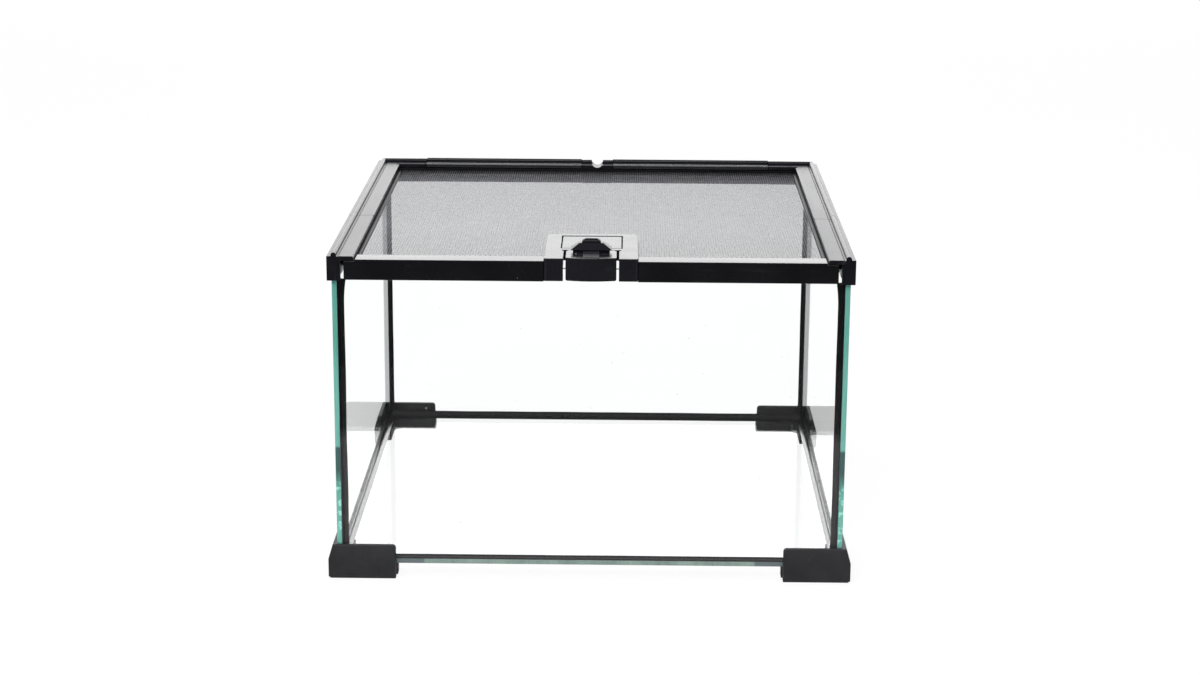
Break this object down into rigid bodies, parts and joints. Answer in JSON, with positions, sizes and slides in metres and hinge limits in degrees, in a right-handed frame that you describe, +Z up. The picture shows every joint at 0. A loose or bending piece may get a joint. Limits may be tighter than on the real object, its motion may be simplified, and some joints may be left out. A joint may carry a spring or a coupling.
{
  "type": "reptile terrarium",
  "caption": "Low glass terrarium with a black top frame, a mesh lid that slides forward in side channels, a rocking latch and corner feet.",
  "frame": {"origin": "on the table under the middle of the tank, at the centre of the outline of the feet", "axes": "+X to the right seen from the latch side, +Y from the latch side to the back, +Z up; the lid slides along -Y"},
  "size_m": [0.31, 0.31, 0.2038],
  "materials": {
    "glass": "clear polished float glass with green cut edges",
    "silicone": "glossy black silicone",
    "foot_plastic": "matt black moulded plastic",
    "frame_plastic": "satin black moulded plastic",
    "lid_plastic": "satin black moulded plastic",
    "latch_plastic": "satin black moulded plastic",
    "screen_wire": "plain-woven fine wire",
    "pin_steel": "plain steel wire pin"
  },
  "bodies": {
    "tank": {"glass_bottom": "glass", "glass_front": "glass", "glass_back": "glass", "glass_left": "glass", "glass_right": "glass", "seam_floor_front": "silicone", "seam_floor_back": "silicone", "seam_floor_left": "silicone", "seam_floor_right": "silicone", "seam_corner_front_left": "silicone", "seam_corner_front_right": "silicone", "seam_corner_rear_left": "silicone", "seam_corner_rear_right": "silicone", "foot_front_left": "foot_plastic", "foot_front_right": "foot_plastic", "foot_rear_left": "foot_plastic", "foot_rear_right": "foot_plastic", "frame_side_left": "frame_plastic", "frame_side_right": "frame_plastic", "frame_corner_left": "frame_plastic", "frame_corner_right": "frame_plastic", "frame_rear_left": "frame_plastic", "frame_rear_right": "frame_plastic", "cable_port": "frame_plastic"},
    "lid": {"lid_bar_left": "lid_plastic", "lid_bar_right": "lid_plastic", "lid_runner_left": "lid_plastic", "lid_runner_right": "lid_plastic", "lid_runner_rear": "lid_plastic", "mesh_screen": "screen_wire", "latch_housing": "latch_plastic", "latch_base": "latch_plastic", "latch_pin": "pin_steel"},
    "latch": {"latch_rocker": "latch_plastic", "latch_pad": "latch_plastic"}
  },
  "joints": [
    {"name": "lid_slide", "type": "slide", "parent": "tank", "child": "lid", "axis": [0, -1, 0], "range_m": [0, 0.26]},
    {"name": "latch_rock", "type": "hinge", "parent": "lid", "child": "latch", "pos_m": [0, -0.1275, 0.1922], "axis": [1, 0, 0], "range_deg": [0, 9]}
  ]
}
